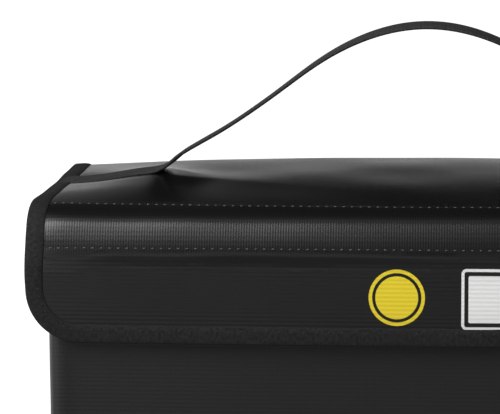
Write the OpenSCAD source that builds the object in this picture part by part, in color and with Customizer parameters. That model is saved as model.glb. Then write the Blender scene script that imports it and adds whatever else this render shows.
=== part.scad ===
// Fire-resistant battery pouch with a hinged lid, a front flap and a webbing handle.
// Origin: centre of the base, on the surface it stands on. X runs along the length,
// the flap faces -Y, and Z is up. Millimetres.

/* [Pouch] */
// Length of the pouch, left to right
body_l = 260; // [200:5:320]
// Depth of the pouch, front to back
body_d = 130; // [100:5:160]
// Height of the side walls
side_h = 144; // [110:2:180]
// Outside radius of the upright edges
corner_r = 5; // [4:0.5:10]

/* [Cloth] */
// Thickness of the coated outer cloth
cloth_t = 0.8; // [0.5:0.1:1]
// Thickness of the stiffening board between cloth and lining
board_t = 1.2; // [0.8:0.1:1.4]
// Thickness of the lining
lining_t = 0.5; // [0.3:0.1:0.6]

/* [Lid] */
// Clearance between the side walls' binding and the lid
lid_gap = 1.4; // [0.8:0.1:3]
// How far the lid stands past the pouch at each end
lid_overhang = 8; // [4:0.5:12]
// Slope of the crowned lid at its front and back edges, in degrees
lid_slope = 4; // [2:0.5:7]
// Outside radius of the cloth fold at the back
back_fold_r = 4; // [3:0.5:6]

/* [Flap] */
// Outside radius of the soft fold between lid and flap
fold_r = 12.5; // [11.5:0.5:15]
// Height from the lid's front edge to the flap's lower edge
flap_drop = 47; // [45:1:60]
// Radius of the flap's lower corners
flap_corner_r = 18; // [9:1:22]
// Clearance between the fold's lining and the front wall's binding
fold_gap = 1.8; // [0.5:0.1:2]

/* [Binding tape] */
// Width of the tape that shows on each face
tape_w = 6; // [4:0.5:8]
// Thickness of the tape
tape_t = 0.6; // [0.4:0.1:0.8]

/* [Hook and loop strips] */
// Length of the strips
grip_l = 220; // [120:5:240]
// Height of the strips
grip_h = 20; // [12:1:22]
// Height of the strips' lower edge above the flap's lower edge
grip_up = 8; // [7:0.5:9]
// Thickness of the loop strip on the pouch
loop_t = 1.2; // [0.8:0.1:1.6]
// Thickness of the hook strip on the flap
hook_t = 1.2; // [0.8:0.1:1.6]
// Clearance between the two closed strips
grip_gap = 0.3; // [0.2:0.1:0.8]

/* [Handle] */
// Width of the webbing
strap_w = 25; // [20:1:38]
// Thickness of the webbing
strap_t = 1.2; // [1:0.1:2]
// Height of the handle's arch above the lid
strap_rise = 54; // [45:1:70]
// Length of each sewn tail, from the binding tape to where the webbing leaves the lid
tail_l = 24; // [15:1:30]
// Length of the lid that each twisting root stands over
root_l = 38; // [30:1:45]

/* [Stitching] */
// Length of one stitch
stitch_l = 2; // [1.5:0.1:2.4]
// Distance from one stitch to the next
stitch_pitch = 3; // [2.8:0.1:4]
// Width of the sewing thread
thread_w = 0.5; // [0.3:0.1:0.7]
// Height of the thread above the cloth
thread_t = 0.25; // [0.15:0.05:0.4]
// Distance from a stitch row to the edge that it holds
stitch_inset = 2; // [1.5:0.5:3]

/* [Hidden] */

black_cloth = [0.10, 0.10, 0.10];
black_tape = [0.13, 0.13, 0.13];
black_webbing = [0.18, 0.18, 0.18];
grey_board = [0.45, 0.43, 0.40];
silver_lining = [0.55, 0.56, 0.57];
grey_thread = [0.30, 0.30, 0.30];

// Walls: cloth outside, then board, then lining
board_in = cloth_t + board_t;
wall_t = board_in + lining_t;
side_run = body_d / 2 - corner_r;
front_run = body_l / 2 - corner_r;

// Lid: the crown's ends stand at lid_edge_z, on the outer face
lid_edge_z = side_h + tape_t + lid_gap + wall_t;
lid_half = body_l / 2 + lid_overhang - tape_t;

// Flap: its outer face lies in front of the closed hook and loop strips
flap_y = -(body_d / 2 + loop_t + grip_gap + hook_t + wall_t);
flap_low_z = lid_edge_z - flap_drop + tape_t;

// Fold between lid and flap
fold_c = [flap_y + fold_r, lid_edge_z - fold_r * cos(lid_slope)];
fold_tape_y = body_d / 2 + tape_t + fold_c[0];
front_h = fold_c[1] + sqrt(max(0, pow(fold_r - wall_t - fold_gap, 2) - pow(fold_tape_y, 2))) - tape_t;

// Fold at the back, and the back wall below it
back_c = [body_d / 2 - back_fold_r, lid_edge_z - back_fold_r * cos(lid_slope)];
back_h = back_c[1];

// Crown between the two folds
lid_back_y = back_c[0] + back_fold_r * sin(lid_slope);
lid_front_y = fold_c[0] - fold_r * sin(lid_slope);
crown_r = (lid_back_y - lid_front_y) / 2 / sin(lid_slope);
lid_c = [(lid_back_y + lid_front_y) / 2, lid_edge_z - crown_r * cos(lid_slope)];
lid_top_z = lid_c[1] + crown_r;

// Hook and loop strips
grip_z = flap_low_z - tape_t + grip_up;

// Handle: the arch follows a bell-shaped curve
bell_power = 1.9;
strap_end = lid_half + tape_t - tape_w;
strap_span = strap_end - tail_l;
root_end = strap_span - root_l;
bell_step = 0.01;

// Facets along the curves
crown_steps = 24;
fold_steps = 16;
corner_steps = 8;
arch_steps = 48;
root_steps = 12;

// Points on an arc drawn in (y, z), with the angle counted from +Z towards +Y
function section_arc(c, r, a0, a1, n) =
    [for (i = [0:n]) let (a = a0 + (a1 - a0) * i / n) c + r * [sin(a), cos(a)]];

// Closed outline between two arcs about one centre
function section_band(c, r_out, r_in, a0, a1, n) =
    concat(section_arc(c, r_out, a0, a1, n), section_arc(c, r_in, a1, a0, n));

// Points on an arc drawn in plan, with the angle counted from +X towards +Y
function plan_arc(c, r, a0, a1) =
    [for (i = [0:corner_steps]) let (a = a0 + (a1 - a0) * i / corner_steps) c + r * [cos(a), sin(a)]];

// Plan of a front wall's layer, from depth d0 to depth d1, with its two rounded ends
function wall_plan(d0, d1) = concat(
    plan_arc([-front_run, -side_run], corner_r - d0, 180, 270),
    plan_arc([front_run, -side_run], corner_r - d0, 270, 360),
    plan_arc([front_run, -side_run], corner_r - d1, 360, 270),
    plan_arc([-front_run, -side_run], corner_r - d1, 270, 180)
);

// Plan of the base, drawn in by d from the pouch's outside
function base_plan(d) = concat(
    plan_arc([-front_run, -side_run], corner_r - d, 180, 270),
    plan_arc([front_run, -side_run], corner_r - d, 270, 360),
    plan_arc([front_run, side_run], corner_r - d, 0, 90),
    plan_arc([-front_run, side_run], corner_r - d, 90, 180)
);

// Outline of the flap in (x, z), grown by g, with its straight top edge at top_z
function flap_outline(g, top_z) = let (
    x = lid_half + g,
    r = flap_corner_r + g,
    z = flap_low_z - g
) concat(
    [[x, top_z], [-x, top_z]],
    plan_arc([r - x, z + r], r, 180, 270),
    plan_arc([x - r, z + r], r, 270, 360)
);

// Height of the webbing's middle above the lid, at distance x from the lid's middle
function bell(x) = strap_t / 2 + strap_rise * pow(max(0, 1 - pow(x / strap_span, 2)), bell_power);
function bell_normal(x) = let (
    rise = bell(x + bell_step) - bell(x - bell_step),
    run = 2 * bell_step
) [-rise, run] / norm([rise, run]);
function bell_side(x0, x1, n, off) =
    [for (i = [0:n]) let (x = x0 + (x1 - x0) * i / n) [x, lid_top_z + bell(x)] + off * bell_normal(x)];
function bell_band(x0, x1, n) =
    concat(bell_side(x0, x1, n, strap_t / 2), bell_side(x1, x0, n, -strap_t / 2));

// Extrudes a (y, z) section along X
module along_x(x0, x1) {
    translate([x0, 0, 0]) rotate([90, 0, 90]) linear_extrude(x1 - x0) children();
}

// Extrudes an (x, z) section along Y
module along_y(y0, y1) {
    translate([0, y1, 0]) rotate([90, 0, 0]) linear_extrude(y1 - y0) children();
}

// Extrudes a plan from z0 to z1
module upright(z0, z1) {
    translate([0, 0, z0]) linear_extrude(z1 - z0) children();
}

// Box between two corners
module box(low, high) {
    translate(low) cube(high - low);
}

// One layer of the crowned lid, and one of the front fold
module lid_layer(d0, d1, x0, x1) {
    along_x(x0, x1)
        polygon(section_band(lid_c, crown_r - d0, crown_r - d1, lid_slope, -lid_slope, crown_steps));
}
module fold_layer(d0, d1, x0, x1) {
    along_x(x0, x1)
        polygon(section_band(fold_c, fold_r - d0, fold_r - d1, -lid_slope, -90, fold_steps));
}

// Pouch: outer cloth
module front_panel() {
    color(black_cloth) upright(0, front_h) polygon(wall_plan(0, cloth_t));
}
module back_panel() {
    color(black_cloth) mirror([0, 1, 0]) upright(0, back_h) polygon(wall_plan(0, cloth_t));
}
module side_layer(d0, d1, low) {
    box([body_l / 2 - d1, -side_run, low], [body_l / 2 - d0, side_run, side_h]);
}
module right_side_panel() {
    color(black_cloth) side_layer(0, cloth_t, 0);
}
module left_side_panel() {
    mirror([1, 0, 0]) right_side_panel();
}
module base_panel() {
    color(black_cloth) upright(0, cloth_t) polygon(base_plan(cloth_t));
}

// Pouch: stiffening boards
module front_board_blank(height) {
    box([-front_run, -body_d / 2 + cloth_t, board_in], [front_run, -body_d / 2 + board_in, height]);
}
module front_board() {
    color(grey_board) front_board_blank(front_h);
}
module back_board() {
    color(grey_board) mirror([0, 1, 0]) front_board_blank(back_h);
}
module right_side_board() {
    color(grey_board) side_layer(cloth_t, board_in, board_in);
}
module left_side_board() {
    mirror([1, 0, 0]) right_side_board();
}
module base_board() {
    color(grey_board) upright(cloth_t, board_in) polygon(base_plan(cloth_t));
}

// Pouch: lining
module front_lining() {
    color(silver_lining) upright(wall_t, front_h) polygon(wall_plan(board_in, wall_t));
}
module back_lining() {
    color(silver_lining) mirror([0, 1, 0]) upright(wall_t, back_h) polygon(wall_plan(board_in, wall_t));
}
module right_side_lining() {
    color(silver_lining) side_layer(board_in, wall_t, wall_t);
}
module left_side_lining() {
    mirror([1, 0, 0]) right_side_lining();
}
module base_lining() {
    color(silver_lining) upright(board_in, wall_t) polygon(base_plan(board_in));
}

// Pouch: binding over the mouth's edges
module mouth_binding_front() {
    color(black_tape) {
        upright(front_h - tape_w, front_h) polygon(wall_plan(-tape_t, 0));
        upright(front_h, front_h + tape_t) polygon(wall_plan(-tape_t, wall_t + tape_t));
        upright(front_h - tape_w, front_h) polygon(wall_plan(wall_t, wall_t + tape_t));
    }
}
module mouth_binding_right() {
    color(black_tape) along_y(-side_run, side_run) difference() {
        translate([body_l / 2 - wall_t - tape_t, side_h - tape_w])
            square([wall_t + 2 * tape_t, tape_w + tape_t]);
        translate([body_l / 2 - wall_t, side_h - 2 * tape_w])
            square([wall_t, 2 * tape_w]);
    }
}
module mouth_binding_left() {
    mirror([1, 0, 0]) mouth_binding_right();
}

// Closure: loop strip on the pouch, hook strip on the flap
module loop_strip() {
    color(black_webbing)
        box([-grip_l / 2, -body_d / 2 - loop_t, grip_z], [grip_l / 2, -body_d / 2, grip_z + grip_h]);
}
module hook_strip() {
    color(black_webbing)
        box([-grip_l / 2, flap_y + wall_t, grip_z], [grip_l / 2, flap_y + wall_t + hook_t, grip_z + grip_h]);
}

// Lid hinge: the outer cloth bends over the back edge
module back_fold() {
    color(black_cloth) along_x(-front_run, front_run)
        polygon(section_band(back_c, back_fold_r, back_fold_r - cloth_t, 90, lid_slope, fold_steps));
}

// Lid
module lid_cloth() {
    color(black_cloth) lid_layer(0, cloth_t, -lid_half, lid_half);
}
module lid_board() {
    color(grey_board) lid_layer(cloth_t, board_in, -lid_half, lid_half);
}
module lid_lining() {
    color(silver_lining) lid_layer(board_in, wall_t, -lid_half, lid_half);
}
module lid_binding_right() {
    color(black_tape) {
        lid_layer(-tape_t, 0, strap_end, lid_half);
        lid_layer(wall_t, wall_t + tape_t, strap_end, lid_half);
        lid_layer(-tape_t, wall_t + tape_t, lid_half, lid_half + tape_t);
    }
}
module lid_binding_left() {
    mirror([1, 0, 0]) lid_binding_right();
}

// Flap hinge: cloth, lining and tape bend together, with no board between them
module fold_cloth() {
    color(black_cloth) fold_layer(0, cloth_t, -lid_half, lid_half);
}
module fold_lining() {
    color(silver_lining) fold_layer(board_in, wall_t, -lid_half, lid_half);
}
module fold_binding_right() {
    color(black_tape) {
        fold_layer(-tape_t, 0, strap_end, lid_half);
        fold_layer(wall_t, wall_t + tape_t, strap_end, lid_half);
        fold_layer(-tape_t, wall_t + tape_t, lid_half, lid_half + tape_t);
    }
}
module fold_binding_left() {
    mirror([1, 0, 0]) fold_binding_right();
}

// Flap
module flap_layer(d0, d1) {
    along_y(flap_y + d0, flap_y + d1) polygon(flap_outline(0, fold_c[1]));
}
module flap_cloth() {
    color(black_cloth) flap_layer(0, cloth_t);
}
module flap_board() {
    color(grey_board) flap_layer(cloth_t, board_in);
}
module flap_lining() {
    color(silver_lining) flap_layer(board_in, wall_t);
}
module flap_binding() {
    color(black_tape) difference() {
        along_y(flap_y - tape_t, flap_y + wall_t + tape_t) difference() {
            polygon(flap_outline(tape_t, fold_c[1]));
            polygon(flap_outline(tape_t - tape_w, fold_c[1] + tape_w));
        }
        along_y(flap_y, flap_y + wall_t) polygon(flap_outline(0, fold_c[1] + tape_w));
    }
}

// Stitching: each row is a line of separate stitches between the binding tapes
module stitch_row(half) {
    count = floor(2 * half / stitch_pitch);
    for (i = [0:count - 1])
        translate([(i - (count - 1) / 2) * stitch_pitch - stitch_l / 2, -thread_w / 2, 0])
            cube([stitch_l, thread_w, thread_t]);
}
module upper_stitch_row() {
    a = stitch_inset / crown_r * 180 / PI - lid_slope;
    color(grey_thread) translate([0, lid_c[0] + crown_r * sin(a), lid_c[1] + crown_r * cos(a)])
        rotate([-a, 0, 0]) stitch_row(strap_end - stitch_pitch);
}
module lower_stitch_row() {
    color(grey_thread) translate([0, flap_y, fold_c[1] - stitch_inset])
        rotate([90, 0, 0]) stitch_row(strap_end - stitch_pitch);
}
module strap_stitches() {
    color(grey_thread) for (side = [-1, 1], x = [strap_span + stitch_inset, strap_end - stitch_inset])
        translate([side * x, lid_c[0], lid_top_z + strap_t]) rotate([0, 0, 90]) stitch_row(strap_w / 2);
}

// Handle: sewn tails, twisting roots and the arch
module strap_between(x0, x1, n) {
    color(black_webbing) along_y(lid_c[0] - strap_w / 2, lid_c[0] + strap_w / 2)
        polygon(bell_band(x0, x1, n));
}
module strap_tail_right() {
    strap_between(strap_span, strap_end, 1);
}
module strap_tail_left() {
    mirror([1, 0, 0]) strap_tail_right();
}
module strap_root_right() {
    strap_between(root_end, strap_span, root_steps);
}
module strap_root_left() {
    mirror([1, 0, 0]) strap_root_right();
}
module handle_strap() {
    strap_between(-root_end, root_end, arch_steps);
}

front_panel();
back_panel();
left_side_panel();
right_side_panel();
base_panel();
front_board();
back_board();
left_side_board();
right_side_board();
base_board();
front_lining();
back_lining();
left_side_lining();
right_side_lining();
base_lining();
mouth_binding_front();
mouth_binding_left();
mouth_binding_right();
loop_strip();
back_fold();
lid_cloth();
lid_board();
lid_lining();
lid_binding_left();
lid_binding_right();
fold_cloth();
fold_lining();
fold_binding_left();
fold_binding_right();
upper_stitch_row();
flap_cloth();
flap_board();
flap_lining();
flap_binding();
hook_strip();
lower_stitch_row();
strap_tail_left();
strap_tail_right();
strap_stitches();
strap_root_left();
strap_root_right();
handle_strap();
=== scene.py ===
# %% [markdown]
# # A padded battery bag
# The bag is a stiffened box of coated black cloth. Its lid, its soft front fold and its flap are one
# continuous cover, edged with woven tape, and a webbing handle is sewn to the top.
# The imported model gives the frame, and each new piece takes the place of one or more of its solids.

# %% Load the frame
import bpy, bmesh, math
from mathutils import Matrix, Vector


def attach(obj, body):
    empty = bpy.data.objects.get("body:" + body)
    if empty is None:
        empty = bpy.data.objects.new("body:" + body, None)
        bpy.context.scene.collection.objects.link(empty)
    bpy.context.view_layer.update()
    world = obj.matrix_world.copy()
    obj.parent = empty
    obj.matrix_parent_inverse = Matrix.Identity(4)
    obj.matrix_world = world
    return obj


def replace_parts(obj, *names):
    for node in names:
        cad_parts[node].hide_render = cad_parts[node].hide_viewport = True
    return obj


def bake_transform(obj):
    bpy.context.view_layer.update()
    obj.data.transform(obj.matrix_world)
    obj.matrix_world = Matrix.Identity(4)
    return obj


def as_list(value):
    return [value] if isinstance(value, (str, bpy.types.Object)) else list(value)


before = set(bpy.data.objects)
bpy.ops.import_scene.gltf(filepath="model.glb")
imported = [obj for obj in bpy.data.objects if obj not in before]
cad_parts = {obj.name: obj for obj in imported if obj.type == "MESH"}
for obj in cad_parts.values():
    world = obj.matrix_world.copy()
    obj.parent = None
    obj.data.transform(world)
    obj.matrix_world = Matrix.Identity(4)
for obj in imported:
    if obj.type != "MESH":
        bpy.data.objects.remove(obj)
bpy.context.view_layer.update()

# %% [markdown]
# ## Camera
# The photograph is a close crop: only the upper left part of the bag is inside it. A long lens about a metre
# away, a little above the lid, gives its gentle perspective. The camera turns to the middle of the crop, so
# no lens shift is needed. The focal length is counted in pixels of a frame 500 wide.

# %% Camera
MM = 0.001
FRAME_W, SENSOR_W, FOCAL_PX = 500, 36, 2790.4
CAMERA_AT = Vector((9.85, -1009.0, 286.7)) * MM
yaw, pitch, roll = (math.radians(degrees) for degrees in (-4.223, 8.305, -0.26))

forward = Vector((math.sin(yaw) * math.cos(pitch), math.cos(yaw) * math.cos(pitch), -math.sin(pitch)))
right = Vector((math.cos(yaw), -math.sin(yaw), 0))
up = right.cross(forward)
tilted_right = right * math.cos(roll) + up * math.sin(roll)
tilted_up = up * math.cos(roll) - right * math.sin(roll)

camera_data = bpy.data.cameras.new("photo_camera")
camera_data.sensor_width = SENSOR_W
camera_data.lens = FOCAL_PX * SENSOR_W / FRAME_W
camera = bpy.data.objects.new("photo_camera", camera_data)
bpy.context.scene.collection.objects.link(camera)
turn = Matrix((tilted_right, tilted_up, -forward)).transposed().to_4x4()
camera.matrix_world = Matrix.Translation(CAMERA_AT) @ turn
bpy.context.scene.camera = camera
print(f"camera: {camera_data.lens:.0f} mm lens")

# %% [markdown]
# ## Shader maths as Python
# A finish is easier to read when its maths looks like maths. `Wire` stands for one output socket, and each
# operator on it adds a Math node. `Finish` makes a material and adds every other kind of node.

# %% Wires and finishes
RAYS = ("Is Camera Ray", "Is Glossy Ray", "Is Transmission Ray")


def math_node(operation, swap=False):
    """A method that adds one Math node to a wire."""
    return lambda wire, other=0.0: wire.math(operation, other, swap)


class Wire:
    def __init__(self, finish, socket):
        self.finish, self.socket = finish, socket

    def math(self, operation, other=0.0, swap=False, clamp=False):
        pair = (other, self) if swap else (self, other)
        settings = {"operation": operation, "use_clamp": clamp}
        return self.finish.node("ShaderNodeMath", settings, {0: pair[0], 1: pair[1]})

    __add__ = __radd__ = math_node("ADD")
    __sub__ = math_node("SUBTRACT")
    __rsub__ = math_node("SUBTRACT", swap=True)
    __mul__ = __rmul__ = math_node("MULTIPLY")
    __truediv__ = math_node("DIVIDE")
    __pow__ = math_node("POWER")
    __abs__ = math_node("ABSOLUTE")
    sin = math_node("SINE")
    at_least = math_node("MAXIMUM")
    at_most = math_node("MINIMUM")

    def between_0_and_1(self):
        return self.math("ADD", 0.0, clamp=True)

    def ramp(self, start, width):
        """0 up to start, and 1 from start + width on."""
        return ((self - start) / width).between_0_and_1()


class Patch:
    """The nodes of a material or a world."""
    def __init__(self, owner):
        owner.use_nodes = True
        self.tree = owner.node_tree
        self.tree.nodes.clear()

    def node(self, kind, settings=None, inputs=None, out=0):
        made = self.tree.nodes.new(kind)
        for key, value in (settings or {}).items():
            setattr(made, key, value)
        for key, value in (inputs or {}).items():
            self.feed(made.inputs[key], value)
        return Wire(self, made.outputs[out])

    def feed(self, socket, value):
        if isinstance(value, Wire):
            self.tree.links.new(value.socket, socket)
        else:
            socket.default_value = value

    def mix(self, factor, first, second):
        return self.node("ShaderNodeMix", {"data_type": "RGBA"}, {0: factor, 6: first, 7: second}, out=2)

    def show(self, kind, surface):
        end = self.tree.nodes.new(kind)
        self.tree.links.new(surface.socket, end.inputs["Surface"])

    def seen_rays(self, share):
        """1 to the camera, and share to rays that a glossy or a clear surface sends on."""
        camera, glossy, through = (self.node("ShaderNodeLightPath", out=ray) for ray in RAYS)
        return (camera + (glossy + through) * share).between_0_and_1()


class Finish(Patch):
    def __init__(self, name, **constants):
        self.material = bpy.data.materials.new(name)
        super().__init__(self.material)
        self.shader = self.tree.nodes.new("ShaderNodeBsdfPrincipled")
        self.show("ShaderNodeOutputMaterial", Wire(self, self.shader.outputs[0]))
        for socket, value in constants.items():
            self.shader.inputs[socket.replace("_", " ")].default_value = value

    def drive(self, **sockets):
        for name, value in sockets.items():
            self.feed(self.shader.inputs[name.replace("_", " ")], value)

    def greys(self, factor, base, low, high):
        """A mix of two greys, given as shares of the base grey."""
        return self.mix(factor, *[(base * share,) * 3 + (1,) for share in (low, high)])

    def cloth_uv(self):
        uv = self.node("ShaderNodeUVMap", {"uv_map": "UVMap"})
        return uv, *[self.node("ShaderNodeSeparateXYZ", {}, {0: uv}, out=axis) for axis in (0, 1)]

    def noise(self, where, scale, detail=2.0):
        return self.node("ShaderNodeTexNoise", {}, {"Vector": where, "Scale": scale, "Detail": detail})

    def bump(self, height, distance, strength=1.0):
        made = {"Strength": strength, "Distance": distance, "Height": height}
        return self.node("ShaderNodeBump", {}, made)


print("shader helpers ready")

# %% [markdown]
# ## Studio
# The bag stands on a pale floor in front of a white background. The cloth is black and a little glossy, so
# most of its tone is reflection: a low white wall behind makes the far half of the lid shine, the dark space
# above it leaves the near half black, and one wide softbox overhead draws the pale band on the rounded fold.
# The world is pure white to the camera, and a dim studio with that low wall to every other ray. The floor is
# white to the camera too, less so near the bag, where its own light shows the shadow.

# %% World
scene = bpy.context.scene
scene.view_settings.view_transform = "Standard"
scene.world = bpy.data.worlds.new("studio")
air = Patch(scene.world)
toward = air.node("ShaderNodeTexCoord")
side, behind, rise = (air.node("ShaderNodeSeparateXYZ", {}, {0: toward}, out=axis) for axis in range(3))
WALL_TOP, WALL_FADE, WALL_LIGHT = 0.127, 0.04, 0.5
SCREEN_EDGE, SCREEN_TOP, SCREEN_LIGHT = 0.09, 0.55, 0.35
CEILING_FROM, FLANK_FROM = 0.965, 0.5
DARK, CEILING_LIGHT, FRONT_LIGHT, FLANK_LIGHT = 0.012, 0.3, 0.08, 0.2
low_wall = (0.5 + (WALL_TOP - rise) / WALL_FADE).between_0_and_1()
left_screen = (1.2 - rise / SCREEN_TOP).between_0_and_1() * (side * -1).ramp(SCREEN_EDGE, 0.03)
backdrop = (low_wall + left_screen * SCREEN_LIGHT) * (behind * 2.5 - 0.2).between_0_and_1()
ceiling, flanks = rise.ramp(CEILING_FROM, 0.03), abs(side).ramp(FLANK_FROM, 0.2)
front = (behind * -3).between_0_and_1()
level = DARK + ceiling * CEILING_LIGHT + front * FRONT_LIGHT + flanks * FLANK_LIGHT
grey = air.node("ShaderNodeCombineColor", {}, {0: level, 1: level, 2: level})
dim_room = air.node("ShaderNodeBackground", {}, {"Color": grey, "Strength": 1.0})
white = air.node("ShaderNodeBackground", {}, {"Color": (1, 1, 1, 1), "Strength": 1.0})
lit = air.node("ShaderNodeMixShader", {}, {0: air.seen_rays(backdrop * WALL_LIGHT), 1: dim_room, 2: white})
air.show("ShaderNodeOutputWorld", lit)
print("world: white to the camera, a low white wall behind the bag to the rest")

# %% Floor and lamp
FLOOR_R, FLOOR_Z = 6.0, -0.0004
# The second grey is painted shade for the floor just in front of the bag.
PALE, FRONT_SHADE_GREY = (0.53, 0.53, 0.53, 1), (0.27, 0.27, 0.27, 1)
floor_mesh = bpy.data.meshes.new("studio_floor")
floor_bm = bmesh.new()
bmesh.ops.create_circle(floor_bm, cap_ends=True, segments=96, radius=FLOOR_R)
floor_bm.to_mesh(floor_mesh)
floor_bm.free()
floor = bpy.data.objects.new("studio_floor", floor_mesh)
scene.collection.objects.link(floor)
floor.location.z = FLOOR_Z
paint = Finish("studio_floor_paint", Roughness=0.9, Specular_IOR_Level=0.1, Emission_Strength=1.0)
spot = paint.node("ShaderNodeTexCoord", {}, {}, out=3)
far = paint.node("ShaderNodeVectorMath", {"operation": "LENGTH"}, {0: spot}, out=1)
floor_x, floor_y = (paint.node("ShaderNodeSeparateXYZ", {}, {0: spot}, out=axis) for axis in (0, 1))

# Painted shade: the floor just in front gets a darker base colour that stands in for the bag's shade there,
# so that the flap and the front wall mirror less of it. The camera's glow is raised there to hide it.
front_painted_shade = (floor_y * -1).ramp(0.1, 0.08) * floor_y.ramp(-0.5, 0.1)
front_painted_shade = front_painted_shade * ((0.7 - abs(floor_x)) / 0.3).between_0_and_1()
not_in_front = ((floor_y + 0.08) * 4).at_least((abs(floor_x) - 0.25) / 0.3).between_0_and_1()
away = ((far - 0.2) / 0.4).at_least(front_painted_shade * 0.7).between_0_and_1()
seen = paint.seen_rays(not_in_front) * (0.56 + 0.44 * away)
paint.drive(Base_Color=paint.mix(front_painted_shade, PALE, FRONT_SHADE_GREY), Emission_Color=seen)
floor.data.materials.append(paint.material)

LAMP_AT, LAMP_AIM = Vector((-0.93, -0.9, 1.2)), Vector((-0.1, -0.05, 0.12))
lamp = bpy.data.lights.new("softbox_over_front", "AREA")
lamp.shape, lamp.size, lamp.size_y, lamp.energy = "RECTANGLE", 1.0, 1.25, 35
softbox = bpy.data.objects.new("softbox_over_front", lamp)
scene.collection.objects.link(softbox)
aim = (LAMP_AIM - LAMP_AT).to_track_quat("-Z", "Y")
softbox.matrix_world = Matrix.Translation(LAMP_AT) @ aim.to_matrix().to_4x4()
print("floor and softbox ready")

# %% [markdown]
# ## Cloth as a mapped sheet
# A sewn panel is a flat cut of cloth that has been bent into place. So each panel starts as a flat grid, and
# every point of the grid is moved to where the bent cloth carries it. The flat place of each point, in
# metres, becomes its UV, and the weave drawn on those UVs follows the bends at its true size.

# %% Mapped sheets
def lay_flat(bm, flat):
    """Smooth faces, with the flat place of each point as its UV."""
    chart = bm.loops.layers.uv.new("UVMap")
    for face in bm.faces:
        face.smooth = True
        for loop in face.loops:
            loop[chart].uv = flat(loop.vert)


def mapped_sheet(name, columns, rows, place, flat, finish, slot, body=None, closed=False, thick=0.0):
    """A grid of columns by rows cells: place and flat take a column and a row number."""
    bm = bmesh.new()
    bmesh.ops.create_grid(bm, x_segments=columns, y_segments=rows, size=0.5)
    spot = {v: (round((v.co.x + 0.5) * columns), round((v.co.y + 0.5) * rows)) for v in bm.verts}
    lay_flat(bm, lambda v: flat(*spot[v]))
    for v, at in spot.items():
        v.co = place(*at)
    if closed:
        bmesh.ops.remove_doubles(bm, verts=bm.verts, dist=1e-6)
    return finished(name, bm, finish, slot, body, thick)


def finished(name, bm, finish, slot, body=None, thick=0.0):
    mesh = bpy.data.meshes.new(name)
    bm.to_mesh(mesh)
    bm.free()
    piece = bpy.data.objects.new(name, mesh)
    scene.collection.objects.link(piece)
    mesh.materials.append(finish.material)
    if thick:
        wall = piece.modifiers.new("cloth thickness", "SOLIDIFY")
        wall.thickness, wall.offset = thick, -1
    if body:
        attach(piece, body)
    return piece


def ease(low, high, value):
    t = min(max((value - low) / (high - low), 0.0), 1.0)
    return t * t * (3 - 2 * t)


def along(stops, value):
    """Smooth interpolation through (place, height) stops."""
    if value <= stops[0][0]:
        return stops[0][1]
    for (a, low), (b, high) in zip(stops, stops[1:]):
        if value <= b:
            return low + (high - low) * ease(a, b, value)
    return stops[-1][1]


print("sheet helpers ready")

# %% [markdown]
# ## The cover: lid, fold and flap
# One length of cloth starts at the back edge, runs over the crowned lid, rolls over the soft front fold and
# hangs down as the flap. Its middle line is a shallow arc, a roll and a straight drop, set out as the solids
# are. A place on the cloth is then two numbers: x along the bag, and s, the distance from the back edge. Two
# rows of stitches cross the cloth, one on each side of the roll, and the cloth's finish changes at them.

# %% The cover's line
CROWN = math.radians(4)
EDGE_Z, LID_HALF = 148.5, 137.4
FLAP_Y, FLAP_LOW_Z, FOLD_R, FOLD_GAP, FOLD_DROP = -70.2, 102.1, 12.5, 1.8, 3.6
fold_y, fold_z = FLAP_Y + FOLD_R, EDGE_Z - FOLD_R * math.cos(CROWN)
BACK_FOLD_R = 4.0
back_y, back_z = 65.0 - BACK_FOLD_R, EDGE_Z - BACK_FOLD_R * math.cos(CROWN)
lid_back_y = back_y + BACK_FOLD_R * math.sin(CROWN)
lid_front_y = fold_y - FOLD_R * math.sin(CROWN) + FOLD_GAP
crown_r = (lid_back_y - lid_front_y) / 2 / math.sin(CROWN)
crown_y, crown_z = (lid_back_y + lid_front_y) / 2, EDGE_Z - crown_r * math.cos(CROWN)
LID_S = crown_r * 2 * CROWN

# The fold rolls over in two easy facets: its slope in degrees, at shares of its length
SLOPES = ((0.0, 4.0), (0.04, 14.0), (0.44, 24.0), (0.54, 40.0),
          (0.66, 56.0), (0.88, 64.0), (0.95, 78.0), (1.0, 88.0))
FOLD_STEPS = 60
fold_shape = [Vector((0, 0))]
slope_at = [math.radians(along(SLOPES, k / FOLD_STEPS)) for k in range(FOLD_STEPS + 1)]
for k in range(FOLD_STEPS):
    a = (slope_at[k] + slope_at[k + 1]) / 2
    fold_shape.append(fold_shape[-1] + Vector((-math.cos(a), -math.sin(a))))
fold_start, fold_end = Vector((lid_front_y, EDGE_Z)), Vector((FLAP_Y, fold_z - FOLD_DROP))
fold_line = []
for point, a in zip(fold_shape, slope_at):
    y = fold_start.x + point.x * (fold_end.x - fold_start.x) / fold_shape[-1].x
    z = fold_start.y + point.y * (fold_end.y - fold_start.y) / fold_shape[-1].y
    fold_line.append((y, z, a))
FOLD_S = sum(math.hypot(q[0] - p[0], q[1] - p[1]) for p, q in zip(fold_line, fold_line[1:]))
FLAP_S = fold_end.y - FLAP_LOW_Z
END_S = LID_S + FOLD_S + FLAP_S
lid_top = crown_z + crown_r
ROW_1, ROW_2 = LID_S - 0.1, LID_S + FOLD_S - 1.8


def cover_line(s):
    """Place (y, z) and outward direction of the cover's outer face at distance s from the back edge."""
    if s < LID_S:
        a = CROWN * (1 - 2 * s / LID_S)
        return crown_y + crown_r * math.sin(a), crown_z + crown_r * math.cos(a), math.sin(a), math.cos(a)
    if s < LID_S + FOLD_S:
        k = (s - LID_S) / FOLD_S * FOLD_STEPS
        low = min(int(k), FOLD_STEPS - 1)
        y, z, a = (p + (q - p) * (k - low) for p, q in zip(fold_line[low], fold_line[low + 1]))
        return y, z, -math.sin(a), math.cos(a)
    return FLAP_Y, fold_end.y - (s - LID_S - FOLD_S), -1.0, 0.0


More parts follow.
